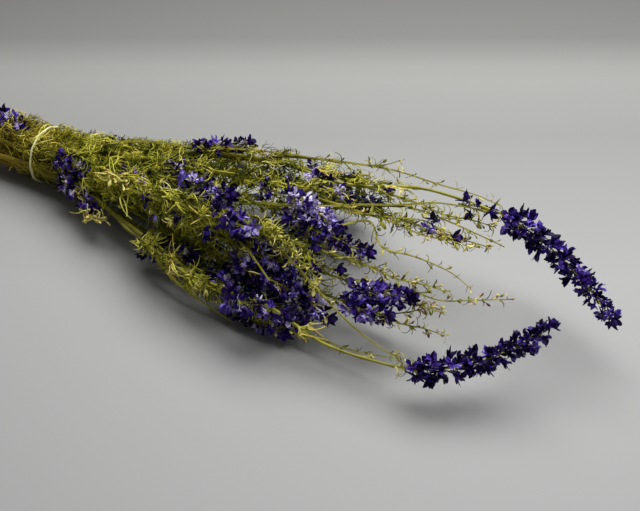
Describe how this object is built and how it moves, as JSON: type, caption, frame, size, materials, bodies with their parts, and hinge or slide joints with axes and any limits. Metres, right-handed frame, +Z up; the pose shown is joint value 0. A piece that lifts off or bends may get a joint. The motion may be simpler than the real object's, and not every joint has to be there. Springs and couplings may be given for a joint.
{
  "type": "bunch of dried delphinium",
  "caption": "Tied bunch of dried delphinium lying on its side: slender stems, fine leaves, violet flower spikes and thin bud spikes that spread out past an elastic tie.",
  "frame": {"origin": "middle of the underside of the bunch's bounding box, on the surface it lies on", "axes": "+X along the bunch from the cut ends to the flower tips, +Y across the bunch, +Z up, away from the surface"},
  "size_m": [0.7042, 0.2308, 0.1033],
  "materials": {
    "stem": "dry, slightly ribbed, satin, olive green going brown at the nodes and the cut ends",
    "leaf": "dry and matt, yellow-green to straw",
    "flower": "dry papery petals, matt, deep violet with paler lilac edges",
    "bud": "dry and matt, grey-green to straw",
    "elastic": "smooth, satin, cream"
  },
  "bodies": {
    "root": {"bud_spike_03": "bud", "bud_spike_06": "bud", "bud_spike_09": "bud", "bud_spike_18": "bud", "bud_spike_21": "bud", "bud_spike_29": "bud", "elastic_tie": "elastic", "flower_spike_01": "flower", "flower_spike_02": "flower", "flower_spike_05": "flower", "flower_spike_07": "flower", "flower_spike_08": "flower", "flower_spike_11": "flower", "flower_spike_14": "flower", "flower_spike_16": "flower", "flower_spike_22": "flower", "flower_spike_24": "flower", "flower_spike_28": "flower", "flower_spike_30": "flower", "flower_spike_32": "flower", "flower_spike_33": "flower", "flower_spike_35": "flower", "leaf_spray_10": "leaf", "leaf_spray_15": "leaf", "leaf_spray_27": "leaf", "leaf_spray_31": "leaf", "leaf_spray_34": "leaf", "long_flower_spike_back": "flower", "long_flower_spike_front": "flower", "long_stem_back": "stem", "long_stem_front": "stem", "stem_01": "stem", "stem_02": "stem", "stem_03": "stem", "stem_05": "stem", "stem_06": "stem", "stem_07": "stem", "stem_08": "stem", "stem_09": "stem", "stem_11": "stem", "stem_12": "stem", "stem_13": "stem", "stem_14": "stem", "stem_16": "stem", "stem_17": "stem", "stem_18": "stem", "stem_19": "stem", "stem_20": "stem", "stem_21": "stem", "stem_22": "stem", "stem_24": "stem", "stem_25": "stem", "stem_26": "stem", "stem_28": "stem", "stem_29": "stem", "stem_30": "stem", "stem_32": "stem", "stem_33": "stem", "stem_35": "stem"}
  },
  "joints": []
}
